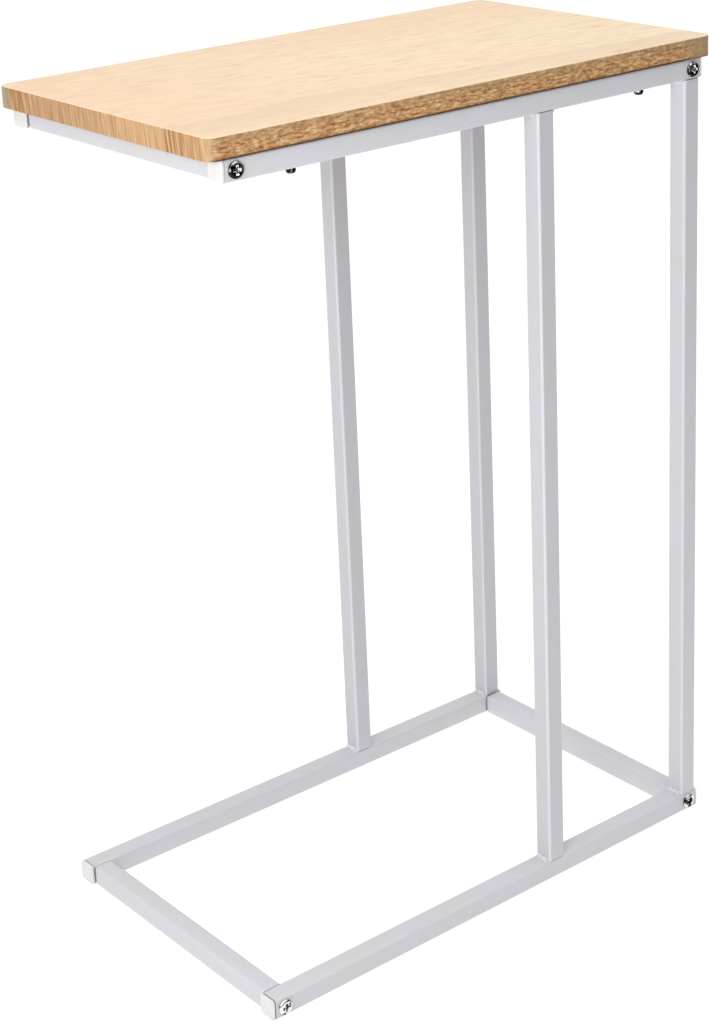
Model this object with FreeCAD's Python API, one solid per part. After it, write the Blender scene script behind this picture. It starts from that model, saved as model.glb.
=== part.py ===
"""C-shaped side table: a wood-effect top on a knock-down frame of square steel tube.

Millimetres. +Z is up, +X runs along the table to the end where the posts stand, and the front long
side faces -Y. The origin is on the floor, in the middle of the table.
"""
import FreeCAD, Part
import math
import os

# Table top: a core panel with a printed foil wrapped over its top and edges
TABLE_HEIGHT = 660.0
TOP_LENGTH = 470.0
TOP_WIDTH = 265.0
TOP_THICKNESS = 16.0
TOP_CORNER_RADIUS = 8.0
TOP_EDGE_RADIUS = 1.5
FOIL_THICKNESS = 0.5

# How far the top reaches past the frame
TOP_END_OVERHANG = 10.0
TOP_SIDE_OVERHANG = 1.5

# Square tube of the rails, posts and cross rails
TUBE_SIDE = 16.0
TUBE_WALL = 1.0
TUBE_CORNER_RADIUS = 2.0
POST_PITCH = 153.0
WELD_LEG = 2.5

# Plastic cap in each end of a long rail: a flange, and a hollow plug with ribs that grip the tube
CAP_FLANGE = 3.0
CAP_BEVEL = 0.9
CAP_SCREW_GAP = 0.5
PLUG_WALL = 1.5
PLUG_CLEARANCE = 0.5
RIB_CLEARANCE = 0.05
RIB_WIDTH = 0.8
RIB_COUNT = 2

# Screw through a long rail into the nut in the end of a cross rail
FRAME_SCREW_DIAMETER = 6.0
FRAME_HEAD_DIAMETER = 12.0
FRAME_HEAD_HEIGHT = 2.6
FRAME_HEAD_RIM = 1.0
FRAME_RECESS_SPAN = 6.6
FRAME_RECESS_WIDTH = 2.0
FRAME_RECESS_DEPTH = 1.8
FRAME_TIP_CHAMFER = 0.8
FRAME_TIP_REACH = 2.0
SCREW_HOLE_CLEARANCE = 0.5
THREAD_CLEARANCE = 0.1

# Plate and nut in the end of a cross rail: the plate stands out of the tube and leaves a dark joint
PLATE_THICKNESS = 3.0
PLATE_CLEARANCE = 0.1
JOINT_GAP = 1.2
NUT_ACROSS_FLATS = 10.0
NUT_HEIGHT = 5.0
NUT_SIDES = 6

# Screw up through a top rail into the top
BOARD_SCREW_DIAMETER = 5.0
BOARD_HEAD_DIAMETER = 9.5
BOARD_HEAD_HEIGHT = 4.6
BOARD_HEAD_RIM = 1.8
BOARD_RECESS_SPAN = 5.2
BOARD_RECESS_WIDTH = 1.6
BOARD_RECESS_DEPTH = 2.4
BOARD_SCREW_COVER = 5.0
BOARD_SCREW_POINT = 4.0
BOARD_SCREW_INSET = 58.0
PILOT_SPARE_DEPTH = 0.5

# Share of a cross recess's span and width that is left at its bottom
RECESS_TAPER = 0.45

# Share of a screw head's radius that its flat crown takes, inside the rounded shoulder
CROWN_SHARE = 0.62

# Flat sides of the screws and their holes, and bands up a head's shoulder: they repeat, so they stay light
ROUND_SIDES = 12
SHOULDER_BANDS = 2

# Largest share of a wall or a corner radius that a fillet or bevel beside it takes
FILLET_SHARE = 0.9

# Length of a flat corner cut that touches the arc of a round corner, as a share of the radius
FLAT_CUT = 2 - math.sqrt(2)

# Length that a cutting tool runs past the surface it cuts
TOOL_OVERRUN = 1.0

# Heights closer than this are one level
LEVEL_TOLERANCE = 0.001

# Places that follow from the sizes
TOP_RIM_RADIUS = min(TOP_EDGE_RADIUS, FILLET_SHARE * TOP_CORNER_RADIUS)
TUBE_INNER = TUBE_SIDE - 2 * TUBE_WALL
RAIL_LENGTH = TOP_LENGTH - 2 * (TOP_END_OVERHANG + CAP_FLANGE)
RAIL_Y = (TOP_WIDTH - TUBE_SIDE) / 2 - TOP_SIDE_OVERHANG
UNDERSIDE_Z = TABLE_HEIGHT - TOP_THICKNESS
RAIL_Z = {"top": UNDERSIDE_Z - TUBE_SIDE / 2, "base": TUBE_SIDE / 2}
CROSS_X = (RAIL_LENGTH - TUBE_SIDE) / 2
FRAME_GAP = 2 * RAIL_Y - TUBE_SIDE
CROSS_LENGTH = FRAME_GAP - 2 * JOINT_GAP
POST_X = {"corner": CROSS_X, "inner": CROSS_X - POST_PITCH}
POST_LENGTH = RAIL_Z["top"] - RAIL_Z["base"] - TUBE_SIDE
FRAME_HOLE_RADIUS = (FRAME_SCREW_DIAMETER + SCREW_HOLE_CLEARANCE) / 2
BOARD_HOLE_RADIUS = (BOARD_SCREW_DIAMETER + SCREW_HOLE_CLEARANCE) / 2
CAP_PLUG_DEPTH = TUBE_SIDE / 2 - FRAME_HOLE_RADIUS - CAP_SCREW_GAP
BOARD_SCREW_X = RAIL_LENGTH / 2 - BOARD_SCREW_INSET
BOARD_SCREW_BITE = TOP_THICKNESS - BOARD_SCREW_COVER

# Names and signs of the sides and ends
SIDES = {"front": -1, "rear": 1}
ENDS = {"open_end": -1, "post_end": 1}
LEVELS = ("top", "base")
BEAD_SIDES = {"corner": (-1,), "inner": (-1, 1)}

ORIGIN = FreeCAD.Vector(0, 0, 0)
X_AXIS = FreeCAD.Vector(1, 0, 0)
Y_AXIS = FreeCAD.Vector(0, 1, 0)
Z_AXIS = FreeCAD.Vector(0, 0, 1)


def point(x, y, z):
    return FreeCAD.Vector(x, y, z)


def place(shape, position, direction):
    """A copy of a shape built along +Z from the origin, moved to a position and turned to a direction."""
    placed = shape.copy()
    placed.Placement = FreeCAD.Placement(position, FreeCAD.Rotation(Z_AXIS, direction))
    return placed


def upright_edges(shape):
    """The edges of a prism that run along Z."""
    edges = []
    for edge in shape.Edges:
        box = edge.BoundBox
        if box.XLength + box.YLength < LEVEL_TOLERANCE:
            edges.append(edge)
    return edges


def edges_at_height(shape, height):
    """The edges of a shape that lie in one level plane."""
    edges = []
    for edge in shape.Edges:
        box = edge.BoundBox
        if abs(box.ZMin - height) + box.ZLength < LEVEL_TOLERANCE:
            edges.append(edge)
    return edges


def rounded_block(length, width, height, radius):
    """A block on the XY plane, centred on the Z axis, with its upright edges rounded."""
    block = Part.makeBox(length, width, height, point(-length / 2, -width / 2, 0))
    if radius <= 0:
        return block
    return block.makeFillet(radius, upright_edges(block))


def tube_outside(length):
    """The solid outside of the square tube, along +Z."""
    return rounded_block(TUBE_SIDE, TUBE_SIDE, length, TUBE_CORNER_RADIUS)


def inner_bar(side, height, inset):
    """A square bar inside the tube, with flat corner cuts at the same inset from the tube's outside."""
    bar = Part.makeBox(side, side, height, point(-side / 2, -side / 2, 0))
    radius = TUBE_CORNER_RADIUS - inset
    if radius <= 0:
        return bar
    return bar.makeChamfer(FLAT_CUT * radius, upright_edges(bar))


def tube(length):
    """A square tube along +Z."""
    return tube_outside(length).cut(inner_bar(TUBE_INNER, length, TUBE_WALL))


def polygon(sides, corner_radius, height):
    """The outline of a level regular polygon around the Z axis."""
    corners = []
    for number in range(sides):
        angle = 2 * math.pi * number / sides
        corners.append(point(corner_radius * math.cos(angle), corner_radius * math.sin(angle), height))
    return Part.makePolygon(corners + corners[:1])


def prism(sides, flat_radius, height):
    """A regular prism on the XY plane, with its flats at a radius from the Z axis."""
    outline = polygon(sides, flat_radius / math.cos(math.pi / sides), 0)
    return Part.Face(outline).extrude(Z_AXIS * height)


def drill(shape, radius, start, direction, depth):
    """The shape with a hole cut into it from a point."""
    return shape.cut(place(prism(ROUND_SIDES, radius, depth), start, direction))


def bevelled_rim(shape, height, bevel):
    """The shape with the edges of its upper face cut flat."""
    if bevel <= 0:
        return shape
    return shape.makeChamfer(bevel, edges_at_height(shape, height))


def top_slab(skin):
    """The table top with square edges, drawn in by the thickness of a skin on its top and sides."""
    height = TOP_THICKNESS - skin
    return rounded_block(TOP_LENGTH - 2 * skin, TOP_WIDTH - 2 * skin, height, TOP_CORNER_RADIUS - skin)


def core_blank():
    """The core panel before drilling, with a bevel under the foil's rounded edge."""
    bevel = FLAT_CUT * (TOP_RIM_RADIUS - FOIL_THICKNESS)
    blank = bevelled_rim(top_slab(FOIL_THICKNESS), TOP_THICKNESS - FOIL_THICKNESS, bevel)
    blank.translate(Z_AXIS * UNDERSIDE_Z)
    return blank


def board_screw_places(side):
    """Where the screws on one long side meet the underside of a top rail."""
    level = UNDERSIDE_Z - TUBE_SIDE
    return [point(end * BOARD_SCREW_X, side * RAIL_Y, level) for end in ENDS.values()]


def top_core():
    """The core panel, with a blind pilot hole for each board screw."""
    core = core_blank()
    radius = (BOARD_SCREW_DIAMETER + THREAD_CLEARANCE) / 2
    depth = BOARD_SCREW_BITE + PILOT_SPARE_DEPTH
    for side in SIDES.values():
        for head in board_screw_places(side):
            core = drill(core, radius, head + Z_AXIS * TUBE_SIDE, Z_AXIS, depth)
    return core


def top_foil():
    """The printed foil over the top and edges of the core."""
    outside = top_slab(0)
    outside = outside.makeFillet(TOP_RIM_RADIUS, edges_at_height(outside, TOP_THICKNESS))
    outside.translate(Z_AXIS * UNDERSIDE_Z)
    return outside.cut(core_blank())


def long_rail(side, level):
    """A rail along X, drilled for the frame screws and, at the top, for the board screws."""
    centre = point(0, side * RAIL_Y, RAIL_Z[level])
    rail = place(tube(RAIL_LENGTH), centre - X_AXIS * (RAIL_LENGTH / 2), X_AXIS)
    outside = TUBE_SIDE / 2 + TOOL_OVERRUN
    for end in ENDS.values():
        start = centre + X_AXIS * (end * CROSS_X) - Y_AXIS * outside
        rail = drill(rail, FRAME_HOLE_RADIUS, start, Y_AXIS, 2 * outside)
        if level == "top":
            start = centre + X_AXIS * (end * BOARD_SCREW_X) - Z_AXIS * outside
            rail = drill(rail, BOARD_HOLE_RADIUS, start, Z_AXIS, 2 * outside)
    return rail


def post(side, kind):
    """A post between a base rail and a top rail."""
    return place(tube(POST_LENGTH), point(POST_X[kind], side * RAIL_Y, TUBE_SIDE), Z_AXIS)


def cross_rail(end, level):
    """A rail along Y between the front and rear frames."""
    return place(tube(CROSS_LENGTH), point(end * CROSS_X, -CROSS_LENGTH / 2, RAIL_Z[level]), Y_AXIS)


def weld_bead(x_side, z_side):
    """A bead with a convex face along Y, in the corner between a post and a rail."""
    length = TUBE_SIDE - 2 * TUBE_CORNER_RADIUS
    bulge = WELD_LEG * math.sin(math.pi / 4)
    section = ((0, 0), (WELD_LEG, 0), (bulge, bulge), (0, WELD_LEG))
    corners = [point(x_side * x, -length / 2, z_side * z) for x, z in section]
    return Part.Face(Part.makePolygon(corners + corners[:1])).extrude(Y_AXIS * length)


def frame_welds(side):
    """The beads at the head and foot of both posts on one side."""
    joints = {1: TUBE_SIDE, -1: UNDERSIDE_Z - TUBE_SIDE}
    beads = []
    for kind, x_sides in BEAD_SIDES.items():
        for x_side in x_sides:
            for z_side, z in joints.items():
                bead = weld_bead(x_side, z_side)
                bead.translate(point(POST_X[kind] + x_side * TUBE_SIDE / 2, side * RAIL_Y, z))
                beads.append(bead)
    return Part.makeCompound(beads)


def end_cap():
    """A cap that closes a tube ending at z = 0: the flange above, the hollow ribbed plug below."""
    limit = FILLET_SHARE * min(TUBE_CORNER_RADIUS, CAP_FLANGE)
    flange = bevelled_rim(tube_outside(CAP_FLANGE), CAP_FLANGE, min(CAP_BEVEL, limit))
    plug = inner_bar(TUBE_INNER - 2 * PLUG_CLEARANCE, CAP_PLUG_DEPTH, TUBE_WALL + PLUG_CLEARANCE)
    rib_pitch = CAP_PLUG_DEPTH / RIB_COUNT
    for number in range(RIB_COUNT):
        rib = inner_bar(TUBE_INNER - 2 * RIB_CLEARANCE, RIB_WIDTH, TUBE_WALL + RIB_CLEARANCE)
        rib.translate(Z_AXIS * ((number + 0.5) * rib_pitch - RIB_WIDTH / 2))
        plug = plug.fuse(rib)
    bore = TUBE_INNER - 2 * (PLUG_CLEARANCE + PLUG_WALL)
    plug = plug.cut(inner_bar(bore, CAP_PLUG_DEPTH, TUBE_CORNER_RADIUS))
    plug.translate(Z_AXIS * -CAP_PLUG_DEPTH)
    return flange.fuse(plug).removeSplitter()


def placed_cap(side, level, end):
    """The cap in one end of a long rail."""
    return place(end_cap(), point(end * RAIL_LENGTH / 2, side * RAIL_Y, RAIL_Z[level]), X_AXIS * end)


def end_plates(end, level):
    """The two plates in the ends of a cross rail, with clearance holes for the frame screws."""
    plate = inner_bar(TUBE_INNER - 2 * PLATE_CLEARANCE, PLATE_THICKNESS, TUBE_WALL + PLATE_CLEARANCE)
    plate = drill(plate, FRAME_HOLE_RADIUS, ORIGIN, Z_AXIS, PLATE_THICKNESS)
    return in_cross_rail_ends(plate, end, level, 0)


def nuts(end, level):
    """The two nuts behind the plates of a cross rail."""
    nut = prism(NUT_SIDES, NUT_ACROSS_FLATS / 2, NUT_HEIGHT)
    nut = drill(nut, (FRAME_SCREW_DIAMETER + THREAD_CLEARANCE) / 2, ORIGIN, Z_AXIS, NUT_HEIGHT)
    return in_cross_rail_ends(nut, end, level, PLATE_THICKNESS)


def in_cross_rail_ends(shape, end, level, depth):
    """The shape at both ends of a cross rail, facing inwards from a depth behind the long rails."""
    pair = []
    for side in SIDES.values():
        seat = point(end * CROSS_X, side * (FRAME_GAP / 2 - depth), RAIL_Z[level])
        pair.append(place(shape, seat, Y_AXIS * -side))
    return Part.makeCompound(pair)


def cross_outline(span, width, height):
    """The outline of a cross with four equal arms, at a height."""
    corners = []
    for number in range(4):
        turn = FreeCAD.Rotation(Z_AXIS, number * 90)
        for x, y in ((span, -width), (span, width), (width, width)):
            corners.append(turn.multVec(point(x / 2, y / 2, height)))
    return Part.makePolygon(corners + corners[:1])


def cross_recess(span, width, depth, top):
    """The tapered cross recess in a screw head."""
    mouth = cross_outline(span, width, top)
    floor = cross_outline(span * RECESS_TAPER, width * RECESS_TAPER, top - depth)
    return Part.makeLoft([mouth, floor], True, True)


def head_rings(head_diameter, head_height, head_rim):
    """The radius and height of each ring of a pan head: its seat, its rounded shoulder and its flat crown."""
    radius = head_diameter / 2
    crown = CROWN_SHARE * radius
    rings = [(radius, 0)]
    for band in range(SHOULDER_BANDS + 1):
        angle = math.radians(90 * band / SHOULDER_BANDS)
        height = head_rim + (head_height - head_rim) * math.sin(angle)
        rings.append((crown + (radius - crown) * math.cos(angle), height))
    return rings


def outlines(rings):
    """The outline of each ring of a screw."""
    return [polygon(ROUND_SIDES, radius, height) for radius, height in rings]


def pan_screw(tip, diameter, head_diameter, head_height, head_rim):
    """A screw with its head above z = 0 and its shank below, from the sections of its tip."""
    shank = Part.makeLoft(tip + outlines([(diameter / 2, 0)]), True, True)
    head = Part.makeLoft(outlines(head_rings(head_diameter, head_height, head_rim)), True, True)
    return shank.fuse(head)


def frame_screw():
    """A machine screw with a chamfered tip that reaches a little past its nut."""
    length = TUBE_SIDE + PLATE_THICKNESS + NUT_HEIGHT + FRAME_TIP_REACH
    radius = FRAME_SCREW_DIAMETER / 2
    tip = outlines([(radius - FRAME_TIP_CHAMFER, -length), (radius, FRAME_TIP_CHAMFER - length)])
    screw = pan_screw(tip, FRAME_SCREW_DIAMETER, FRAME_HEAD_DIAMETER, FRAME_HEAD_HEIGHT, FRAME_HEAD_RIM)
    recess = cross_recess(FRAME_RECESS_SPAN, FRAME_RECESS_WIDTH, FRAME_RECESS_DEPTH, FRAME_HEAD_HEIGHT)
    return screw.cut(recess)


def board_screw():
    """A wood screw with a sharp point."""
    length = TUBE_SIDE + BOARD_SCREW_BITE
    tip = [Part.Vertex(0, 0, -length)] + outlines([(BOARD_SCREW_DIAMETER / 2, BOARD_SCREW_POINT - length)])
    screw = pan_screw(tip, BOARD_SCREW_DIAMETER, BOARD_HEAD_DIAMETER, BOARD_HEAD_HEIGHT, BOARD_HEAD_RIM)
    recess = cross_recess(BOARD_RECESS_SPAN, BOARD_RECESS_WIDTH, BOARD_RECESS_DEPTH, BOARD_HEAD_HEIGHT)
    return screw.cut(recess)


def frame_screws(side):
    """The four frame screws on one long side, with their heads on the outer faces of the rails."""
    screws = []
    for end in ENDS.values():
        for level in LEVELS:
            seat = point(end * CROSS_X, side * (RAIL_Y + TUBE_SIDE / 2), RAIL_Z[level])
            screws.append(place(frame_screw(), seat, Y_AXIS * side))
    return Part.makeCompound(screws)


def board_screws(side):
    """The two board screws under one top rail."""
    return Part.makeCompound([place(board_screw(), seat, Z_AXIS * -1) for seat in board_screw_places(side)])


def table_parts():
    """Every piece of the table, by name."""
    parts = {"top_core": top_core(), "top_foil": top_foil()}
    for side_name, side in SIDES.items():
        for kind in POST_X:
            parts[f"{side_name}_{kind}_post"] = post(side, kind)
        for level in LEVELS:
            parts[f"{side_name}_{level}_rail"] = long_rail(side, level)
            for end_name, end in ENDS.items():
                parts[f"{side_name}_{level}_{end_name}_cap"] = placed_cap(side, level, end)
        parts[f"{side_name}_frame_welds"] = frame_welds(side)
        parts[f"{side_name}_frame_screws"] = frame_screws(side)
        parts[f"{side_name}_board_screws"] = board_screws(side)
    for end_name, end in ENDS.items():
        for level in LEVELS:
            parts[f"{end_name}_{level}_cross_rail"] = cross_rail(end, level)
            parts[f"{end_name}_{level}_end_plates"] = end_plates(end, level)
            parts[f"{end_name}_{level}_nuts"] = nuts(end, level)
    return parts


def main():
    os.makedirs("parts", exist_ok=True)
    for name, shape in table_parts().items():
        shape.exportStep(f"parts/{name}.step")


main()
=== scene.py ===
"""Looks of the C-shaped side table: materials, studio and camera.

Finer caps, cross rails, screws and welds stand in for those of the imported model. Sizes are metres in that
model's frame: +Z is up, the posts stand at the +X end, and the front faces -Y.
"""
import math

import bmesh
import bpy
from mathutils import Color, Matrix, Vector


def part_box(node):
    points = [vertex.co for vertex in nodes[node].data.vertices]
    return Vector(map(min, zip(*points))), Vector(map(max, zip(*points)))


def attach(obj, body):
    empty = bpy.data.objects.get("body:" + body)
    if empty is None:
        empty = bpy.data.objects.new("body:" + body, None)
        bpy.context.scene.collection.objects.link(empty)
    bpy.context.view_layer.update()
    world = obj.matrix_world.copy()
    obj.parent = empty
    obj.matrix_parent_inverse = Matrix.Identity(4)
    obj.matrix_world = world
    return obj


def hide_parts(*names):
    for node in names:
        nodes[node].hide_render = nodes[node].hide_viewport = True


# Sides, levels and ends in the names of nodes, with the way along Y or X that is outward for a side or end
SIDES = {"front": -1, "rear": 1}
LEVELS = ("top", "base")
ENDS = {"open_end": -1, "post_end": 1}

# Photograph and camera: focal length and centre in pixels, turn, dip and roll in degrees, sensor in
# millimetres
IMAGE_WIDTH = 709
IMAGE_HEIGHT = 1024
FOCAL_PIXELS = 2165.7
CENTRE_PIXEL_X = 374.9
CENTRE_PIXEL_Y = 319.6
CAMERA_PLACE = (-0.9934, -1.2457, 0.9615)
CAMERA_TURN = -38.58
CAMERA_DIP = 17.59
CAMERA_ROLL = -2.32
SENSOR_WIDTH = 36.0

# Studio: a glowing floor, a white wall around it, a sky that is brightest overhead, soft lights with their
# power in watts, and a black card for contrast
FLOOR_SIZE = 40.0
FLOOR_GLOW = 0.85
FLOOR_ROUGHNESS = 0.9
FLOOR_SPECULAR = 0.1
FLOOR_CLOUDS = (1.5, 1.5, 1.5)
WALL_HEIGHT = 20.0
WALL_GLOW = 1.0
SKY_LOW = 0.15
SKY_HIGH = 1.2
SKY_RISE_START = 0.25
LEFT_BOX_PLACE = (-2.95, -0.6, 1.6)
LEFT_BOX_SIZE = 1.6
LEFT_BOX_POWER = 19.0
TOP_BOX_PLACE = (0.4, 0.0, 3.2)
TOP_BOX_SIZE = 2.4
TOP_BOX_POWER = 33.0
FILL_BOX_PLACE = (-0.95, -0.75, 0.85)
FILL_BOX_SIZE = 0.4
FILL_BOX_POWER = 5.5
LIGHT_AIM = (0.0, 0.0, 0.35)
CARD_PLACE = (0.85, -1.05, 0.37)
CARD_SIZE = (2.0, 0.72, 1.0)

# Screen colours of the oak print: its top, its edges and the line under them
OAK_SHADE = (216, 187, 156)
OAK_MIDDLE = (234, 209, 179)
OAK_PALE = (244, 222, 192)
OAK_PINK = (237, 203, 178)
OAK_STRAW = (235, 215, 181)
OAK_GREY = (215, 193, 164)
OAK_WARM = (232, 196, 164)
OAK_STREAK = (198, 169, 140)
OAK_PORE = (178, 148, 119)
EDGE_DARK = (130, 86, 48)
EDGE_BROWN = (186, 138, 90)
EDGE_TAN = (214, 171, 122)
EDGE_PALE = (246, 214, 168)
EDGE_GREY = (166, 144, 108)
# Painted shade on the board's rounded corners
EDGE_CORNER_SHADE = (162, 150, 126)
EDGE_LINE = (78, 58, 42)
END_BROWN = (174, 132, 90)
END_TAN = (204, 163, 117)
END_PALE = (234, 199, 156)

# Screen colours of the other finishes
CORE_DARK = (150, 120, 90)
CORE_LIGHT = (186, 156, 124)
PAINT_NEUTRAL = (206, 207, 208)
PAINT_LILAC = (208, 207, 216)
# Painted highlight on upright arrises
PAINT_ARRIS_HIGHLIGHT = (217, 217, 223)
# Painted shade and light: a greyer paint for three posts, and a paler one for the front top rail
SHADED_POST_NEUTRAL = (199, 200, 201)
SHADED_POST_LILAC = (201, 200, 209)
LIT_RAIL_NEUTRAL = (212, 213, 214)
LIT_RAIL_LILAC = (214, 213, 222)
# Paler tone of the welds: a painted highlight on their lumps
WELD_HIGHLIGHT = (232, 232, 237)
PLASTIC_SHADE = (221, 219, 217)
PLASTIC_LIGHT = (229, 227, 225)
# Painted shade in narrow joints
JOINT_SHADE = (92, 90, 90)
# Painted reflections on the screw heads' plating
REFLECTION_DARK = (38, 38, 40)
REFLECTION_LIGHT = (238, 238, 241)
# Dark steel, a painted shade where it shows in the rear joints' gaps, and white for the front plates
STEEL_AND_GAP_SHADE_DARK = (44, 44, 46)
STEEL_AND_GAP_SHADE_LIGHT = (66, 66, 69)
FRONT_PLATE_WHITE = (200, 200, 204)
FLOOR_DARK = (128, 128, 128)
FLOOR_LIGHT = (132, 132, 132)
CARD_BLACK = (8, 8, 8)
WHITE = (255, 255, 255)

# Oak print on the top, turned a little from the table's length: features along the grain, across it
# and in depth, their tones, and their shares of the colour
GRAIN_SLANT = math.radians(5.5)
TOP_CLOUDS = (0.20, 0.04, 0.04)
TOP_CLOUD_TONES = ((0.38, OAK_PINK), (0.5, OAK_MIDDLE), (0.62, OAK_STRAW))
TOP_FIGURE = (0.11, 0.010, 0.010)
TOP_FIGURE_TONES = ((0.36, OAK_SHADE), (0.62, OAK_PALE))
TOP_FIGURE_SHARE = 0.45
TOP_GRAIN = (0.024, 0.0026, 0.0026)
TOP_GRAIN_TONES = ((0.34, OAK_STREAK), (0.5, OAK_PALE))
TOP_GRAIN_SHARE = 0.5
TOP_PORES = (0.014, 0.0008, 0.0008)
TOP_PORE_TONES = ((0.30, OAK_PORE), (0.40, OAK_PALE))
TOP_PORE_SHARE = 0.25

# Relief, roughness and specular level of the whole print
OAK_RELIEF = 0.00012
OAK_PORE_RELIEF_SHARE = 0.5
OAK_ROUGHNESS = (0.42, 0.58)
OAK_SPECULAR = 0.35

# Warmer tint of the top: towards the open end along X, and towards the rear across the grain
END_WARM_RANGE = (0.0, -0.235)
END_WARM_SHARE = 0.4
REAR_WARM_RANGE = (0.03, 0.12)
REAR_WARM_SHARE = 0.3

# Greyer strip of the print along the front, darkest where it begins, and bent to the front at the open end
STRIP_EDGE = -0.0874
STRIP_BLUR = 0.003
STRIP_FADE = 0.045
STRIP_SHARES = (0.16, 0.45)
STRIP_BEND_RANGE = (-0.115, -0.19)
STRIP_BEND = 0.019

# Oak print on the long edges: speckle and strokes along X, Y and Z, a greyer upper part, and a wavy dark
# line at the bottom, both by their rise from 0 to 1
EDGE_TONES = ((0.36, EDGE_DARK), (0.48, EDGE_BROWN), (0.58, EDGE_TAN), (0.70, EDGE_PALE))
LONG_SPECKLE = (0.0040, 0.0040, 0.0016)
LONG_STROKES = (0.012, 0.012, 0.0022)
LONG_STROKE_SHARE = 0.45
LONG_GREY_RISE = (0.55, 0.95)
LONG_GREY_SHARE = 0.45
LONG_LINE_RISE = (0.08, 0.00)
LONG_LINE_WAVE = 0.08

# Oak print on the end edges: slanted streaks and fibres along X, Y and Z, and ranges along Y where they
# fade to brown and then turn dark. They are dark too where the front strip begins
END_LIGHT_TONES = ((0.22, EDGE_DARK), (0.36, END_BROWN), (0.54, END_TAN), (0.76, END_PALE))
END_DARK_TONES = ((0.42, EDGE_DARK), (0.55, EDGE_BROWN), (0.70, EDGE_TAN))
END_SLANT = math.radians(8)
END_STREAKS = (0.0022, 0.0022, 0.045)
END_FIBRES = (0.0010, 0.0010, 0.020)
END_FIBRE_SHARE = 0.5
END_FADE_RANGE = (-0.07, 0.06)
END_FADE = 0.09
END_REAR_RANGE = (0.085, 0.092)
END_STRIP_SHARES = (0.25, 0.7)

# How far a face has to look along X to be an end edge, and up to be the top
END_FACING = (0.55, 0.75)
TOP_FACING = (0.45, 0.80)

# Greyer bands of the edge at the posts' end and the rear, the rear one a painted shade where the corner
# turns away: widths, blurs, and share of the colour
LONG_BAND_WIDTH = 0.034
LONG_BAND_BLUR = 0.020
END_BAND_WIDTH = 0.018
END_BAND_BLUR = 0.002
BAND_SHARE = 0.75

# Painted shade on the rounded corner of the edge, where both edges are seen: product of the face's X and Y,
# and share
CORNER_SHADE_TURN = (0.15, 0.45)
CORNER_SHADE_SHARE = 0.3

# Board core: fibres and clouds, and the relief, roughness and specular level
CORE_FIBRES = (0.0016, 0.0012, 0.0014)
CORE_CLOUDS = (0.06, 0.05, 0.05)
CORE_CLOUD_SHARE = 0.4
CORE_RELIEF = 0.0002
CORE_ROUGHNESS = (0.7, 0.85)
CORE_SPECULAR = 0.2

# Powder coat: orange peel and clouds, and the product of a face's X and Y that makes it an upright arris,
# which gets a painted highlight
PAINT_PEEL = (0.0016, 0.0016, 0.0016)
PAINT_CLOUDS = (0.035, 0.035, 0.035)
PAINT_RELIEF = 0.00005
PAINT_ROUGHNESS = (0.36, 0.50)
PAINT_SPECULAR = 0.5
PAINT_ARRIS_HIGHLIGHT_RANGE = (0.12, 0.40)

# Painted light and shade: tubes that get a greyer or paler copy of the paint, for how light falls on them
LIT_AND_SHADED_PAINTS = {"front_inner_post": "shaded_post_paint", "rear_inner_post": "shaded_post_paint",
                "rear_corner_post": "shaded_post_paint", "front_top_rail": "lit_rail_paint"}

# Moulded plastic: grain and clouds, and the relief, roughness and specular level
PLASTIC_GRAIN = (0.0006, 0.0006, 0.0006)
PLASTIC_CLOUDS = (0.008, 0.008, 0.008)
PLASTIC_RELIEF = 0.00003
PLASTIC_ROUGHNESS = (0.38, 0.52)
PLASTIC_SPECULAR = 0.45

# Steel: scratches, and the clouds of plain steel, with the range along Y where it turns dark
STEEL_SCRATCHES = (0.0030, 0.0003, 0.0003)
STEEL_RELIEF = 0.00001
STEEL_CLOUDS = (0.004, 0.004, 0.004)
PLAIN_ROUGHNESS = (0.4, 0.6)
DARK_PLATE_RANGE = (-0.02, 0.0)

# Plating with painted reflections: patches that turn darker with height, and recesses that turn brighter
# with it
REFLECTION_PATCHES = (0.0045, 0.0045, 0.0045)
REFLECTION_TONES = ((0.38, REFLECTION_DARK), (0.48, REFLECTION_LIGHT))
REFLECTION_FALL = -0.25
RECESS_REFLECTION_RISE = 0.5
RECESS_REFLECTION_DROP = -0.12
BRIGHT_ROUGHNESS = (0.05, 0.12)

# Painted shade in narrow joints: the reach within which another surface counts, the open share of that
# space from which it starts and where it is full, and the same along Y for paint and along Z for plastic
JOINT_SHADE_REACH = 0.0030
JOINT_SHADE_RANGE = (0.55, 0.20)
PAINT_JOINT_SHADE_SIDES = (0.0, 0.1)
PLASTIC_JOINT_SHADE_HEIGHTS = (0.4, 0.1)

# Noise: its levels of detail, its whole range, and the part of it where a two-tone finish changes
NOISE_DETAIL = 3.0
WHOLE_RANGE = (0.0, 1.0)
TONE_LOW = 0.35
TONE_HIGH = 0.65

# Plastic cap: rounded outer edge, shadow gap at the tube, hollow plug with ribs
CAP_EDGE = 0.0012
CAP_BACK_EDGE = 0.0003
CAP_GAP = 0.0004
LOOSE_CAP = "front_base_open_end_cap"
LOOSE_CAP_GAP = 0.0009
PLUG_INSET = 0.0015
RIB_INSET = 0.00105
PLUG_WALL = 0.0015
RIB_WIDTH = 0.0008
RIB_COUNT = 2
EDGE_STEPS = 6

# Tubes: corner, its steps, and wall, and for cross rails the lip of their ends and the line at a closed joint
TUBE_CORNER = 0.0020
CORNER_STEPS = 8
TUBE_WALL = 0.0010
TUBE_LIP = 0.0003
JOINT_LINE = 0.0001

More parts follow.
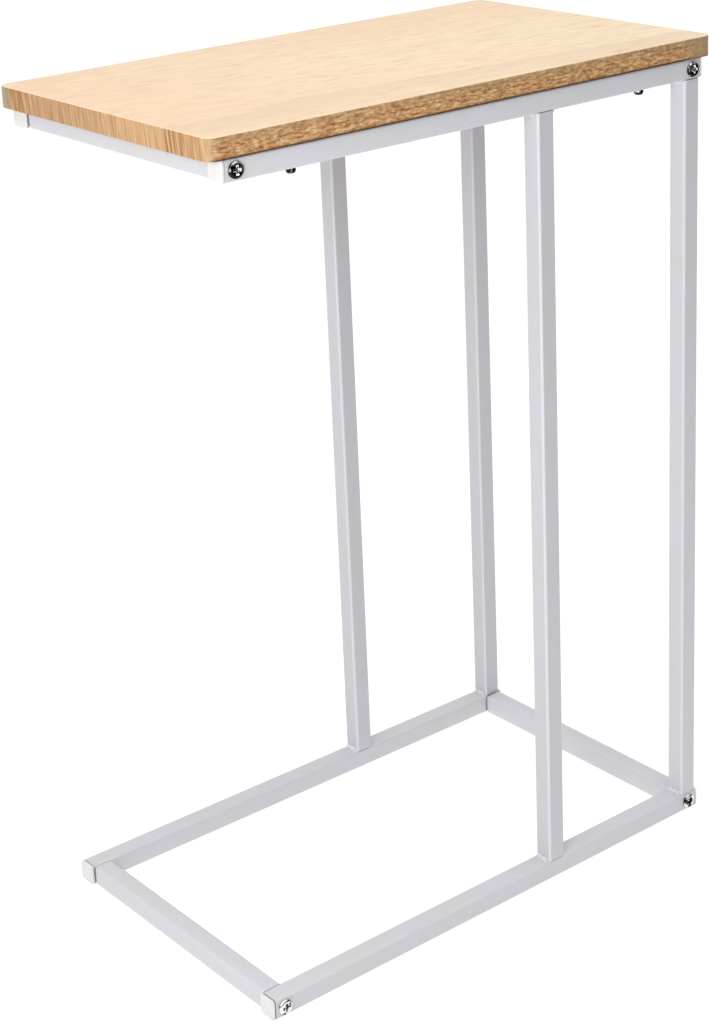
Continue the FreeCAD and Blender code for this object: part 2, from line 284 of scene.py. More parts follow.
# Screws: points around a ring, sizes of the edges and points, and shares of the head
RING_POINTS = 72
SHANK_SHARE = 0.5
HEAD_RIM_SHARE = 0.385
HEAD_EDGE = 0.0003
CROWN_SHARE = 0.62
SHOULDER_RINGS = 8
CROSS_SPAN_SHARE = 0.55
CROSS_WIDTH_SHARE = 0.31
CROSS_TAPER = 0.45
CROSS_DEPTH_SHARE = 0.65
CROSS_EDGE = 0.00012
TIP_CHAMFER = 0.0008
POINT_SHARE = 0.05
POINT_LENGTH = 0.0040
RECESS_RINGS = 2
BOARD_HEAD_SHARE = 0.8

# Welds: lumps along beads in the corners beside the posts
BEAD_RINGS = 48
BEAD_ARC_POINTS = 9
BEAD_SWELL = 1.25
LUMP_WAVES = (3.3, 5.2)
LUMP_DEPTH = 0.35
WELD_END_SHARE = 0.12
WELD_END_HEIGHT = 0.35

# Faces that meet at more than this angle keep a sharp edge
SHARP_ANGLE = math.radians(40)

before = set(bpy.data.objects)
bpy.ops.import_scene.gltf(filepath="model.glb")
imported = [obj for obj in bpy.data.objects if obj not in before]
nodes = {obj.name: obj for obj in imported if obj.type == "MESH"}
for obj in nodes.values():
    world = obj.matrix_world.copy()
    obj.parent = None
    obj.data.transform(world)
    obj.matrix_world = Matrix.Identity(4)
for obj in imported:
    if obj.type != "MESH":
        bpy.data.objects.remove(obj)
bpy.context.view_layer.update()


def colour(shade):
    """A screen colour of 0 to 255, as the linear one that shaders take."""
    screen = Color([value / 255 for value in shade])
    return (*screen.from_srgb_to_scene_linear(), 1.0)


def add(tree, kind, inputs, **settings):
    """A new node of a kind, with its settings, and with its inputs set or linked."""
    made = tree.nodes.new(kind)
    for name, value in settings.items():
        setattr(made, name, value)
    for name, value in inputs.items():
        if isinstance(value, bpy.types.NodeSocket):
            tree.links.new(value, made.inputs[name])
        else:
            made.inputs[name].default_value = value
    return made


def coordinates(tree, kind):
    """A place or direction on the object: Object for places, Normal for the way a face looks."""
    return add(tree, "ShaderNodeTexCoord", {}).outputs[kind]


def axes(tree, vector):
    """The X, Y and Z of a vector."""
    return add(tree, "ShaderNodeSeparateXYZ", {"Vector": vector}).outputs


def turned(tree, place, rotation):
    """A place turned about the origin."""
    return add(tree, "ShaderNodeMapping", {"Vector": place, "Rotation": rotation}).outputs["Vector"]


def noise(tree, place, feature):
    """Noise from 0 to 1, with the size of its features along each axis."""
    scale = [1 / size for size in feature]
    stretched = add(tree, "ShaderNodeMapping", {"Vector": place, "Scale": scale}).outputs["Vector"]
    inputs = {"Vector": stretched, "Scale": 1.0, "Detail": NOISE_DETAIL}
    return add(tree, "ShaderNodeTexNoise", inputs).outputs["Fac"]


def ramp(tree, factor, tones):
    """A colour ramp through tones, each a position and a screen colour."""
    made = add(tree, "ShaderNodeValToRGB", {"Fac": factor})
    elements = made.color_ramp.elements
    while len(elements) < len(tones):
        elements.new(1.0)
    for element, (position, shade) in zip(elements, tones):
        element.position = position
        element.color = colour(shade)
    return made.outputs["Color"]


def two_tone(tree, factor, dark, light):
    """A change between two screen colours, in the middle of a range of noise."""
    return ramp(tree, factor, ((TONE_LOW, dark), (TONE_HIGH, light)))


def mixed(tree, factor, first, second):
    """The first colour where the factor is 0, and the second where it is 1."""
    inputs = {"Fac": factor, "Color1": first, "Color2": second}
    return add(tree, "ShaderNodeMixRGB", inputs).outputs["Color"]


def mapped(tree, value, source, target=WHOLE_RANGE, curve="LINEAR"):
    """A value moved from one range to another along a line or another curve, and held inside it."""
    ends = {"From Min": source[0], "From Max": source[1], "To Min": target[0], "To Max": target[1]}
    made = add(tree, "ShaderNodeMapRange", {"Value": value, **ends}, interpolation_type=curve)
    return made.outputs["Result"]


def worked_out(tree, operation, *values):
    """The result of an operation on values or sockets."""
    return add(tree, "ShaderNodeMath", dict(enumerate(values)), operation=operation).outputs[0]


def bump(tree, height, depth):
    """The way a face looks, with a relief on it."""
    return add(tree, "ShaderNodeBump", {"Height": height, "Distance": depth}).outputs["Normal"]


def joint_shaded(tree, shade, strength):
    """The colour, with painted shade where another surface is close, as in a joint."""
    open_share = add(tree, "ShaderNodeAmbientOcclusion", {"Distance": JOINT_SHADE_REACH}).outputs["AO"]
    joint_shade = worked_out(tree, "MULTIPLY", mapped(tree, open_share, JOINT_SHADE_RANGE), strength)
    return mixed(tree, joint_shade, shade, colour(JOINT_SHADE))


def new_material(name, shader_values):
    """A material with values set on its shader, its node tree and that shader."""
    material = bpy.data.materials.new(name)
    material.use_nodes = True
    shader = material.node_tree.nodes["Principled BSDF"]
    for key, value in shader_values.items():
        shader.inputs[key].default_value = value
    return material, material.node_tree, shader


def link(tree, shader, sockets):
    """Links sockets to inputs of a shader, by name."""
    for name, socket in sockets.items():
        tree.links.new(socket, shader.inputs[name])


def strip_across(tree, place, grain_place):
    """How far a place lies across the grain, with the bend of the front strip at the open end."""
    bend = mapped(tree, axes(tree, place)["X"], STRIP_BEND_RANGE, (0.0, STRIP_BEND), "SMOOTHSTEP")
    return worked_out(tree, "ADD", axes(tree, grain_place)["Y"], bend)


def oak_top(tree, place, grain_place, across):
    """Pale print with soft clouds and short grain, warmer at the open end and the rear.

    A strip along the front is greyer.
    """
    shade = ramp(tree, noise(tree, grain_place, TOP_CLOUDS), TOP_CLOUD_TONES)
    figure = ramp(tree, noise(tree, grain_place, TOP_FIGURE), TOP_FIGURE_TONES)
    shade = mixed(tree, TOP_FIGURE_SHARE, shade, figure)
    grain = ramp(tree, noise(tree, grain_place, TOP_GRAIN), TOP_GRAIN_TONES)
    shade = mixed(tree, TOP_GRAIN_SHARE, shade, grain)
    pores = ramp(tree, noise(tree, grain_place, TOP_PORES), TOP_PORE_TONES)
    shade = mixed(tree, TOP_PORE_SHARE, shade, pores)
    end_warmth = mapped(tree, axes(tree, place)["X"], END_WARM_RANGE, (0.0, END_WARM_SHARE))
    rear_warmth = mapped(tree, across, REAR_WARM_RANGE, (0.0, REAR_WARM_SHARE))
    shade = mixed(tree, worked_out(tree, "MAXIMUM", end_warmth, rear_warmth), shade, colour(OAK_WARM))
    fade = mapped(tree, across, (STRIP_EDGE - STRIP_FADE, STRIP_EDGE), STRIP_SHARES)
    strip = mixed(tree, fade, shade, colour(OAK_GREY))
    return mixed(tree, mapped(tree, across, (STRIP_EDGE + STRIP_BLUR, STRIP_EDGE)), shade, strip)


def banded(tree, shade, along, start, blur, tint):
    """The shade of an edge, tinted from a start along it."""
    band = mapped(tree, along, (start, start + blur), (0.0, BAND_SHARE))
    return mixed(tree, band, shade, colour(tint))


def oak_long_edge(tree, place, rise):
    """Speckled print of the long edges, greyer towards the top, with a dark line at the bottom."""
    shade = ramp(tree, noise(tree, place, LONG_SPECKLE), EDGE_TONES)
    strokes = noise(tree, place, LONG_STROKES)
    shade = mixed(tree, LONG_STROKE_SHARE, shade, ramp(tree, strokes, EDGE_TONES))
    grey_share = mapped(tree, rise, LONG_GREY_RISE, (0.0, LONG_GREY_SHARE))
    shade = mixed(tree, grey_share, shade, colour(EDGE_GREY))
    wavy_rise = worked_out(tree, "MULTIPLY_ADD", strokes, -LONG_LINE_WAVE, rise)
    return mixed(tree, mapped(tree, wavy_rise, LONG_LINE_RISE), shade, colour(EDGE_LINE))


def oak_end_edge(tree, place, across):
    """Upright, slightly slanted streaks of the end edges, browner and then darker to the rear.

    They are darker too where the front strip begins.
    """
    y = axes(tree, place)["Y"]
    slanted = turned(tree, place, (END_SLANT, 0, 0))
    streaks = noise(tree, slanted, END_STREAKS)
    fibres = noise(tree, slanted, END_FIBRES)
    fade = mapped(tree, y, END_FADE_RANGE, (0.0, END_FADE))
    faded = []
    for value in (streaks, fibres):
        faded.append(ramp(tree, worked_out(tree, "SUBTRACT", value, fade), END_LIGHT_TONES))
    light = mixed(tree, END_FIBRE_SHARE, *faded)
    dark = ramp(tree, streaks, END_DARK_TONES)
    rear = mapped(tree, y, END_REAR_RANGE)
    strip_share = mapped(tree, across, (STRIP_EDGE - STRIP_FADE, STRIP_EDGE), END_STRIP_SHARES)
    begun = mapped(tree, across, (STRIP_EDGE + STRIP_BLUR, STRIP_EDGE))
    strip = worked_out(tree, "MULTIPLY", begun, strip_share)
    return mixed(tree, worked_out(tree, "MAXIMUM", rear, strip), light, dark)


def oak_foil():
    """Printed oak: pale on the top, browner on the edges."""
    material, tree, shader = new_material("oak_foil_finish", {"Specular IOR Level": OAK_SPECULAR})
    place = coordinates(tree, "Object")
    grain_place = turned(tree, place, (0, 0, GRAIN_SLANT))
    across = strip_across(tree, place, grain_place)
    facing = axes(tree, coordinates(tree, "Normal"))
    low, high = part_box("top_foil")
    rise = mapped(tree, axes(tree, place)["Z"], (low.z, high.z))

    long_start = high.x - LONG_BAND_WIDTH
    long_edge = oak_long_edge(tree, place, rise)
    long_edge = banded(tree, long_edge, axes(tree, place)["X"], long_start, LONG_BAND_BLUR, EDGE_GREY)
    # The rear band is a painted shade where the corner turns away
    end_start = high.y - END_BAND_WIDTH
    end_edge = oak_end_edge(tree, place, across)
    end_edge = banded(tree, end_edge, axes(tree, place)["Y"], end_start, END_BAND_BLUR, EDGE_CORNER_SHADE)
    end_share = mapped(tree, worked_out(tree, "ABSOLUTE", facing["X"]), END_FACING)
    edge = mixed(tree, end_share, long_edge, end_edge)
    # Painted shade on the rounded corner
    both_ways = worked_out(tree, "MULTIPLY", facing["X"], facing["Y"])
    edge = mixed(tree, mapped(tree, both_ways, CORNER_SHADE_TURN, (0.0, CORNER_SHADE_SHARE)), edge, colour(EDGE_CORNER_SHADE))
    top = oak_top(tree, place, grain_place, across)
    shade = mixed(tree, mapped(tree, facing["Z"], TOP_FACING), edge, top)

    grain = noise(tree, grain_place, TOP_GRAIN)
    pores = noise(tree, grain_place, TOP_PORES)
    relief = mixed(tree, OAK_PORE_RELIEF_SHARE, grain, pores)
    link(tree, shader, {"Base Color": shade, "Roughness": mapped(tree, grain, WHOLE_RANGE, OAK_ROUGHNESS),
                        "Normal": bump(tree, relief, OAK_RELIEF)})
    return material


def board_core():
    """Pressed wood fibre, seen from below."""
    material, tree, shader = new_material("board_core_finish", {"Specular IOR Level": CORE_SPECULAR})
    place = coordinates(tree, "Object")
    fibres = noise(tree, place, CORE_FIBRES)
    clouds = noise(tree, place, CORE_CLOUDS)
    fine = two_tone(tree, fibres, CORE_DARK, CORE_LIGHT)
    shade = mixed(tree, CORE_CLOUD_SHARE, fine, two_tone(tree, clouds, CORE_DARK, CORE_LIGHT))
    link(tree, shader, {"Base Color": shade, "Roughness": mapped(tree, clouds, WHOLE_RANGE, CORE_ROUGHNESS),
                        "Normal": bump(tree, fibres, CORE_RELIEF)})
    return material


def powder_coat(name, tones, with_joint_shade):
    """Two-tone powder coat: orange peel, painted highlight on upright arrises, painted shade in rear joints.
    """
    material, tree, shader = new_material(name, {"Specular IOR Level": PAINT_SPECULAR})
    place = coordinates(tree, "Object")
    peel = noise(tree, place, PAINT_PEEL)
    clouds = noise(tree, place, PAINT_CLOUDS)
    shade = two_tone(tree, clouds, *tones)
    facing = axes(tree, coordinates(tree, "Normal"))
    both_ways = worked_out(tree, "ABSOLUTE", worked_out(tree, "MULTIPLY", facing["X"], facing["Y"]))
    # Painted highlight on upright arrises
    shade = mixed(tree, mapped(tree, both_ways, PAINT_ARRIS_HIGHLIGHT_RANGE), shade, colour(PAINT_ARRIS_HIGHLIGHT))
    # Painted shade in the rear joints
    if with_joint_shade:
        shade = joint_shaded(tree, shade, mapped(tree, axes(tree, place)["Y"], PAINT_JOINT_SHADE_SIDES))
    link(tree, shader, {"Base Color": shade, "Roughness": mapped(tree, clouds, WHOLE_RANGE, PAINT_ROUGHNESS),
                        "Normal": bump(tree, peel, PAINT_RELIEF)})
    return material


def plastic():
    """White moulded plastic with a fine texture, and painted shade in the joints near the floor."""
    material, tree, shader = new_material("white_plastic_finish", {"Specular IOR Level": PLASTIC_SPECULAR})
    place = coordinates(tree, "Object")
    texture = noise(tree, place, PLASTIC_GRAIN)
    shade = two_tone(tree, noise(tree, place, PLASTIC_CLOUDS), PLASTIC_SHADE, PLASTIC_LIGHT)
    joint_shade = mapped(tree, axes(tree, place)["Z"], PLASTIC_JOINT_SHADE_HEIGHTS)
    link(tree, shader, {"Base Color": joint_shaded(tree, shade, joint_shade),
                        "Roughness": mapped(tree, texture, WHOLE_RANGE, PLASTIC_ROUGHNESS),
                        "Normal": bump(tree, texture, PLASTIC_RELIEF)})
    return material


def steel(name, finish_of, roughness):
    """Metal with fine scratches, and with the colour and other inputs that a function gives for a place."""
    material, tree, shader = new_material(name, {"Metallic": 1.0})
    place = coordinates(tree, "Object")
    scratches = noise(tree, place, STEEL_SCRATCHES)
    link(tree, shader, {**finish_of(tree, place),
                        "Roughness": mapped(tree, scratches, WHOLE_RANGE, roughness),
                        "Normal": bump(tree, scratches, STEEL_RELIEF)})
    return material


def bright_finish(tree, place):
    """Painted reflections on plating: dark with a bright recess up high, bright with a darker one low."""
    height = axes(tree, place)["Z"]
    reflection_patches = noise(tree, place, REFLECTION_PATCHES)
    level = worked_out(tree, "MULTIPLY_ADD", height, REFLECTION_FALL, reflection_patches)
    recess = add(tree, "ShaderNodeAttribute", {}, attribute_name="recess").outputs["Fac"]
    recess_reflection = worked_out(tree, "MULTIPLY_ADD", height, RECESS_REFLECTION_RISE, RECESS_REFLECTION_DROP)
    level = worked_out(tree, "MULTIPLY_ADD", recess, recess_reflection, level)
    return {"Base Color": ramp(tree, level, REFLECTION_TONES)}


def plain_finish(tree, place):
    """Dark steel, which paints shade in the rear joints' gaps, and white, not metallic, on the front plates.
    """
    dark = two_tone(tree, noise(tree, place, STEEL_CLOUDS), STEEL_AND_GAP_SHADE_DARK, STEEL_AND_GAP_SHADE_LIGHT)
    dark_plate = mapped(tree, axes(tree, place)["Y"], DARK_PLATE_RANGE)
    return {"Base Color": mixed(tree, dark_plate, colour(FRONT_PLATE_WHITE), dark), "Metallic": dark_plate}


def floor_material():
    """A pale floor with soft clouds, which glows so that shadows on it stay faint."""
    values = {"Roughness": FLOOR_ROUGHNESS, "Specular IOR Level": FLOOR_SPECULAR,
              "Emission Color": colour(WHITE), "Emission Strength": FLOOR_GLOW}
    material, tree, shader = new_material("floor_finish", values)
    clouds = noise(tree, coordinates(tree, "Object"), FLOOR_CLOUDS)
    link(tree, shader, {"Base Color": two_tone(tree, clouds, FLOOR_DARK, FLOOR_LIGHT)})
    return material


def add_loft(mesh, rings, hollow=False):
    """Adds to a mesh a skin through rings with equal numbers of points, and returns its loops.

    Faces close its first and last rings, or where it is hollow, these rings are joined to each other.
    """
    loops = [[mesh.verts.new(point) for point in ring] for ring in rings]
    pairs = list(zip(loops, loops[1:]))
    if hollow:
        pairs.append((loops[-1], loops[0]))
    else:
        mesh.faces.new(loops[0])
        mesh.faces.new(loops[-1])
    count = len(rings[0])
    for lower, upper in pairs:
        for index in range(count):
            after = (index + 1) % count
            mesh.faces.new((lower[index], lower[after], upper[after], upper[index]))
    return loops


def new_piece(name, mesh, material, node):
    """A piece that stands for a CAD node, from a mesh that has been built."""
    bmesh.ops.recalc_face_normals(mesh, faces=mesh.faces[:])
    data = bpy.data.meshes.new(name)
    mesh.to_mesh(data)
    mesh.free()
    data.shade_smooth()
    data.set_sharp_from_angle(angle=SHARP_ANGLE)
    data.materials.append(material)
    piece = bpy.data.objects.new(name, data)
    bpy.context.scene.collection.objects.link(piece)
    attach(piece, "root")
    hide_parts(node)


def middle(node):
    """The middle of a node's box."""
    low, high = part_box(node)
    return (low + high) / 2


def rounded_square(half, radius):
    """Points around a square with round corners."""
    points = []
    reach = (half - radius) * math.sqrt(2)
    for corner in range(4):
        diagonal = math.radians(90 * corner + 45)
        for step in range(CORNER_STEPS + 1):
            angle = math.radians(90 * (corner + step / CORNER_STEPS))
            points.append((reach * math.cos(diagonal) + radius * math.cos(angle),
                           reach * math.sin(diagonal) + radius * math.sin(angle)))
    return points


def cap_profile(flange, depth, gap):
    """Height above the tube's end and inset from its outside, from the outer face down to the bore."""
    profile = []
    quarter = [math.radians(90 * step / EDGE_STEPS) for step in range(EDGE_STEPS + 1)]
    for angle in quarter:
        profile.append((flange - CAP_EDGE * (1 - math.cos(angle)), CAP_EDGE * (1 - math.sin(angle))))
    for angle in quarter:
        height = gap + CAP_BACK_EDGE * (1 - math.sin(angle))
        profile.append((height, CAP_BACK_EDGE * (1 - math.cos(angle))))
    profile.append((gap, PLUG_INSET))
    pitch = depth / RIB_COUNT
    for number in range(RIB_COUNT):
        rib_middle = -(number + 0.5) * pitch
        upper = rib_middle + RIB_WIDTH / 2
        lower = rib_middle - RIB_WIDTH / 2
        profile += [(upper, PLUG_INSET), (upper, RIB_INSET), (lower, RIB_INSET), (lower, PLUG_INSET)]
    bore = PLUG_INSET + PLUG_WALL
    return profile + [(-depth, PLUG_INSET), (-depth, bore), (0.0, bore)]


def add_cap(side, level, end, outward, material):
    """The finer cap in one end of a long rail."""
    node = f"{side}_{level}_{end}_cap"
    low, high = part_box(node)
    rail_low, rail_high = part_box(f"{side}_{level}_rail")
    half = (high.z - low.z) / 2
    seat = rail_high.x if outward > 0 else -rail_low.x
    flange = (high.x if outward > 0 else -low.x) - seat
    depth = (high.x - low.x) - flange
    centre = middle(node)
    mesh = bmesh.new()
    rings = []
    gap = LOOSE_CAP_GAP if node == LOOSE_CAP else CAP_GAP
    for height, inset in cap_profile(flange, depth, gap):
        square = rounded_square(half - inset, max(TUBE_CORNER - inset, CAP_BACK_EDGE))
        rings.append([Vector((outward * (seat + height), centre.y + y, centre.z + z)) for y, z in square])
    add_loft(mesh, rings)
    new_piece(f"fine_{node}", mesh, material, node)


def add_cross_rail(end, level, material):
    """The finer cross rail, which closes its joint at the front and leaves the gap at the rear."""
    node = f"{end}_{level}_cross_rail"
    low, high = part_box(node)
    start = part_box(f"front_{level}_rail")[1].y + JOINT_LINE
    profile = [(start, TUBE_LIP), (start + TUBE_LIP, 0.0), (high.y - TUBE_LIP, 0.0), (high.y, TUBE_LIP),
               (high.y, TUBE_WALL), (start, TUBE_WALL)]
    half = (high.z - low.z) / 2
    centre = middle(node)
    mesh = bmesh.new()
    rings = []
    for y, inset in profile:
        square = rounded_square(half - inset, TUBE_CORNER - inset)
        rings.append([Vector((centre.x + x, y, centre.z + z)) for x, z in square])
    add_loft(mesh, rings, hollow=True)
    new_piece(f"fine_{node}", mesh, material, node)


def circle(radius, height):
    """Points of a ring of a screw, around Z."""
    points = []
    for number in range(RING_POINTS):
        angle = 2 * math.pi * number / RING_POINTS
        points.append(Vector((radius * math.cos(angle), radius * math.sin(angle), height)))
    return points


def cross_reach(angle, span, width):
    """How far a cross reaches from its centre at an angle."""
    turn = abs((angle + math.pi / 4) % (math.pi / 2) - math.pi / 4)
    to_end = span / 2 / math.cos(turn)
    if math.sin(turn) * to_end <= width / 2:
        return to_end
    return width / 2 / math.sin(turn)


def cross_ring(span, width, height):
    """Points around a cross."""
    points = []
    for number in range(RING_POINTS):
        angle = 2 * math.pi * number / RING_POINTS
        reach = cross_reach(angle, span, width)
        points.append(Vector((reach * math.cos(angle), reach * math.sin(angle), height)))
    return points


def screw_rings(tip, radius, head_radius, head_height):
    """Rings of a screw from its tip to the floor of its cross recess: shank below z = 0, head above."""
    rim = HEAD_RIM_SHARE * head_height
    crown = CROWN_SHARE * head_radius
    span = CROSS_SPAN_SHARE * 2 * head_radius
    width = CROSS_WIDTH_SHARE * span
    rings = [circle(ring_radius, height) for ring_radius, height in tip]
    rings += [circle(radius, 0), circle(head_radius - HEAD_EDGE, 0), circle(head_radius, HEAD_EDGE)]
    for number in range(SHOULDER_RINGS + 1):
        angle = math.radians(90 * number / SHOULDER_RINGS)
        ring_radius = crown + (head_radius - crown) * math.cos(angle)
        rings.append(circle(ring_radius, rim + (head_height - rim) * math.sin(angle)))
    rings.append(cross_ring(span + 2 * CROSS_EDGE, width + 2 * CROSS_EDGE, head_height))
    rings.append(cross_ring(span, width, head_height - CROSS_EDGE))
    rings.append(cross_ring(span * CROSS_TAPER, width * CROSS_TAPER, head_height * (1 - CROSS_DEPTH_SHARE)))
    return rings


def add_screws(node, seats, direction, tip, radius, head_radius, head_height, material):
    """Finer screws in place of a node, with their heads at seats and facing a direction."""
    mesh = bmesh.new()
    recess = mesh.verts.layers.float.new("recess")
    turn = direction.to_track_quat("Z", "Y").to_matrix()
    rings = screw_rings(tip, radius, head_radius, head_height)
    for seat in seats:
        loops = add_loft(mesh, [[seat + turn @ point for point in ring] for ring in rings])
        for loop in loops[-RECESS_RINGS:]:
            for vertex in loop:
                vertex[recess] = 1.0
    new_piece(f"fine_{node}", mesh, material, node)


def add_frame_screws(side, outward, material):
    """The screws through one side's rails into the cross rails."""
    node = f"{side}_frame_screws"
    low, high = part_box(node)
    rail_low, rail_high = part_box(f"{side}_base_rail")
    face = rail_high.y if outward > 0 else rail_low.y
    head_radius = high.x - middle("post_end_base_cross_rail").x
    head_height = (high.y if outward > 0 else -low.y) - abs(face)
    length = (high.y - low.y) - head_height
    radius = SHANK_SHARE * head_radius
    tip = [(radius - TIP_CHAMFER, -length), (radius, TIP_CHAMFER - length)]
    seats = []
    for end in ENDS:
        for level in LEVELS:
            centre = middle(f"{end}_{level}_cross_rail")
            seats.append(Vector((centre.x, face, centre.z)))
    add_screws(node, seats, Vector((0, outward, 0)), tip, radius, head_radius, head_height, material)


def add_board_screws(side, material):
    """The screws up through one side's top rail into the table top, with heads narrower than the node's."""
    node = f"{side}_board_screws"
    low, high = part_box(node)
    seat_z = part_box(f"{side}_top_rail")[0].z
    reach = (high.y - low.y) / 2
    head_radius = BOARD_HEAD_SHARE * reach
    head_height = seat_z - low.z
    length = high.z - seat_z
    radius = SHANK_SHARE * reach
    tip = [(radius * POINT_SHARE, -length), (radius, POINT_LENGTH - length)]
    centre_y = (low.y + high.y) / 2
    seats = [Vector((x, centre_y, seat_z)) for x in (low.x + reach, high.x - reach)]
    add_screws(node, seats, Vector((0, 0, -1)), tip, radius, head_radius, head_height, material)


def weld_height(share):
    """Height of a weld at a share of its length: lumps that sink at both ends."""
    inward = max(min(1.0, share / WELD_END_SHARE, (1 - share) / WELD_END_SHARE), 0.0)
    swell = WELD_END_HEIGHT + (1 - WELD_END_HEIGHT) * math.sqrt(inward * (2 - inward))
    lumps = math.prod(math.sin(math.pi * wave * share) for wave in LUMP_WAVES)
    return swell * (1 - LUMP_DEPTH * abs(lumps))


def add_bead(mesh, corner, x_side, z_side, leg, length):
    """A quarter-round bead along Y in a corner, on its sides towards X and Z."""
    rings = []
    for number in range(BEAD_RINGS + 1):
        share = number / BEAD_RINGS
        reach = leg * weld_height(share)
        along = corner + Vector((0, (share - 0.5) * length, 0))
        ring = [along]
        for step in range(BEAD_ARC_POINTS):
            angle = math.radians(90 * step / (BEAD_ARC_POINTS - 1))
            ring.append(along + reach * Vector((x_side * math.cos(angle), 0, z_side * math.sin(angle))))
        rings.append(ring)
    add_loft(mesh, rings)


def add_welds(side, material):
    """The finer welds at the heads and feet of one side's posts."""
    node = f"{side}_frame_welds"
    low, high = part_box(node)
    inner_low, inner_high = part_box(f"{side}_inner_post")
    corner_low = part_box(f"{side}_corner_post")[0]
    leg = BEAD_SWELL * (inner_low.x - low.x)
    centre_y = (low.y + high.y) / 2
    mesh = bmesh.new()
    for z, z_side in ((inner_low.z, 1), (inner_high.z, -1)):
        for x, x_side in ((inner_low.x, -1), (inner_high.x, 1), (corner_low.x, -1)):
            add_bead(mesh, Vector((x, centre_y, z)), x_side, z_side, leg, high.y - low.y)
    new_piece(f"fine_{node}", mesh, material, node)


def dress_nodes(materials):
    """Gives each CAD node its slot's finish, and a few tubes a paler or greyer paint as painted light and
    shade.
    """
    for node in nodes.values():
        slot = node.material_slots[0]
        slot.material = materials[slot.material.name]
    for name, paint in LIT_AND_SHADED_PAINTS.items():
        nodes[name].material_slots[0].material = materials[paint]


def add_floor():
    """The floor that the table stands on."""
    bpy.ops.mesh.primitive_plane_add(size=FLOOR_SIZE)
    floor = bpy.context.object
    floor.name = "floor"
    floor.data.materials.append(floor_material())


def add_wall():
    """A white wall around the floor, seen by the camera alone, so that it leaves the light as it is."""
    bpy.ops.mesh.primitive_cylinder_add(radius=FLOOR_SIZE / 2, depth=WALL_HEIGHT, end_fill_type="NOTHING",
                                        location=(0, 0, WALL_HEIGHT / 2))
    wall = bpy.context.object
    wall.name = "wall"
    glow = {"Emission Color": colour(WHITE), "Emission Strength": WALL_GLOW}
    wall.data.materials.append(new_material("wall_finish", glow)[0])
    wall.visible_diffuse = False
    wall.visible_glossy = False
    wall.visible_transmission = False
    wall.visible_shadow = False


def facing_table(place):
    """The turn of a light or card at a place that has its back, along its Z axis, away from the table."""
    return (Vector(place) - Vector(LIGHT_AIM)).to_track_quat("Z", "Y").to_euler()


def add_card():
    """A black card in front and to the right, unseen by the camera: plating and front faces reflect it."""
    bpy.ops.mesh.primitive_plane_add(size=1, location=CARD_PLACE, rotation=facing_table(CARD_PLACE))
    card = bpy.context.object
    card.name = "card"
    card.scale = CARD_SIZE
    card.visible_camera = False
    card.data.materials.append(new_material("card_finish", {"Base Color": colour(CARD_BLACK)})[0])


def add_softbox(name, place, size, power):
    """A square soft light that faces the table, unseen by the camera."""
    data = bpy.data.lights.new(name, "AREA")
    data.size = size
    data.energy = power
    box = bpy.data.objects.new(name, data)
    box.location = place
    box.rotation_euler = facing_table(place)
    box.visible_camera = False
    bpy.context.scene.collection.objects.link(box)


def add_sky():
    """A sky that grows brighter from the horizon up."""
    world = bpy.data.worlds.new("studio")
    world.use_nodes = True
    tree = world.node_tree
    height = axes(tree, coordinates(tree, "Generated"))["Z"]
    strength = mapped(tree, height, (SKY_RISE_START, 1.0), (SKY_LOW, SKY_HIGH))
    tree.links.new(strength, tree.nodes["Background"].inputs["Strength"])
    tree.nodes["Background"].inputs["Color"].default_value = colour(WHITE)
    bpy.context.scene.world = world


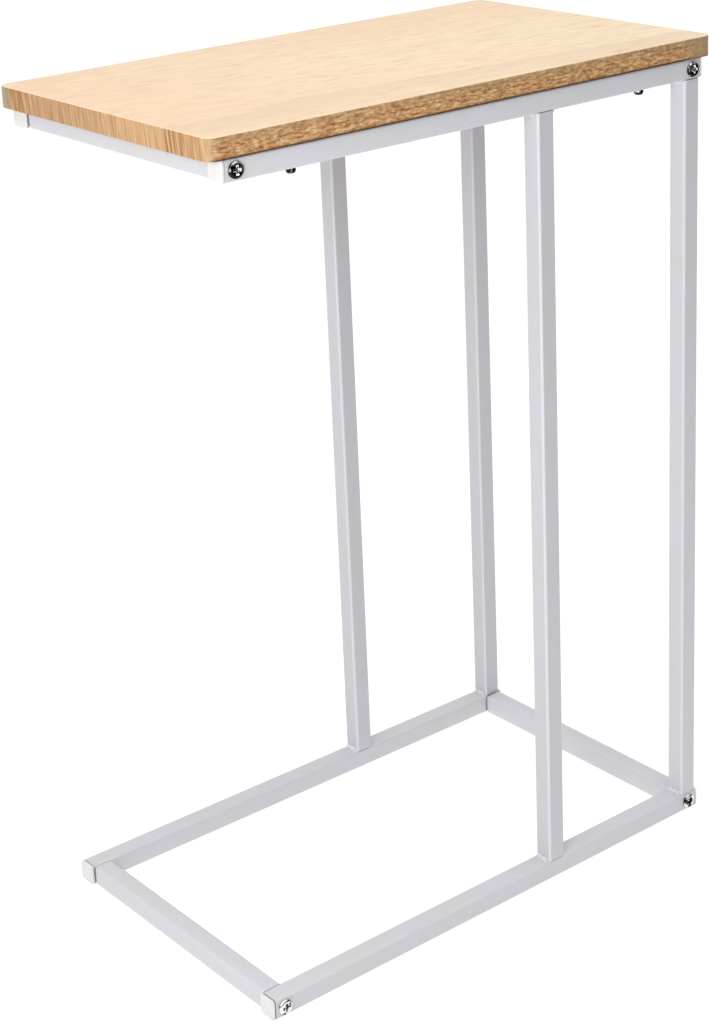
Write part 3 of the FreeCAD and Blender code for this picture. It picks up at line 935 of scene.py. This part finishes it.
def add_camera():
    """A camera that sees the table as the photograph does."""
    data = bpy.data.cameras.new("camera")
    data.sensor_width = SENSOR_WIDTH
    data.lens = FOCAL_PIXELS / IMAGE_HEIGHT * SENSOR_WIDTH
    data.shift_x = (IMAGE_WIDTH / 2 - CENTRE_PIXEL_X) / IMAGE_HEIGHT
    data.shift_y = (CENTRE_PIXEL_Y - IMAGE_HEIGHT / 2) / IMAGE_HEIGHT
    camera = bpy.data.objects.new("camera", data)
    turn = Matrix.Rotation(math.radians(CAMERA_TURN), 4, "Z")
    dip = Matrix.Rotation(math.radians(90 - CAMERA_DIP), 4, "X")
    roll = Matrix.Rotation(math.radians(CAMERA_ROLL), 4, "Z")
    camera.matrix_world = Matrix.Translation(CAMERA_PLACE) @ turn @ dip @ roll
    bpy.context.scene.collection.objects.link(camera)
    bpy.context.scene.camera = camera


def main():
    """Dresses the table, and sets up the studio and the camera."""
    materials = {
        "oak_foil": oak_foil(),
        "board_core": board_core(),
        "white_powder_coat": powder_coat("white_powder_coat_finish", (PAINT_NEUTRAL, PAINT_LILAC), True),
        # Greyer and paler copies of the paint: painted shade and light
        "shaded_post_paint": powder_coat("shaded_post_paint_finish", (SHADED_POST_NEUTRAL, SHADED_POST_LILAC), True),
        "lit_rail_paint": powder_coat("lit_rail_paint_finish", (LIT_RAIL_NEUTRAL, LIT_RAIL_LILAC), True),
        "white_plastic": plastic(),
        "bright_steel": steel("bright_steel_finish", bright_finish, BRIGHT_ROUGHNESS),
        "plain_steel": steel("plain_steel_finish", plain_finish, PLAIN_ROUGHNESS),
    }
    # Welds: paler patches as a painted highlight, and no painted shade in joints
    weld_paint = powder_coat("weld_paint_finish", (PAINT_NEUTRAL, WELD_HIGHLIGHT), False)
    dress_nodes(materials)
    for end in ENDS:
        for level in LEVELS:
            add_cross_rail(end, level, materials["white_powder_coat"])
    for side, outward in SIDES.items():
        for level in LEVELS:
            for end, end_outward in ENDS.items():
                add_cap(side, level, end, end_outward, materials["white_plastic"])
        add_frame_screws(side, outward, materials["bright_steel"])
        add_board_screws(side, materials["bright_steel"])
        add_welds(side, weld_paint)
    add_floor()
    add_wall()
    add_card()
    add_softbox("left_softbox", LEFT_BOX_PLACE, LEFT_BOX_SIZE, LEFT_BOX_POWER)
    add_softbox("top_softbox", TOP_BOX_PLACE, TOP_BOX_SIZE, TOP_BOX_POWER)
    add_softbox("fill_softbox", FILL_BOX_PLACE, FILL_BOX_SIZE, FILL_BOX_POWER)
    add_sky()
    add_camera()
    bpy.context.scene.view_settings.view_transform = "Standard"


main()
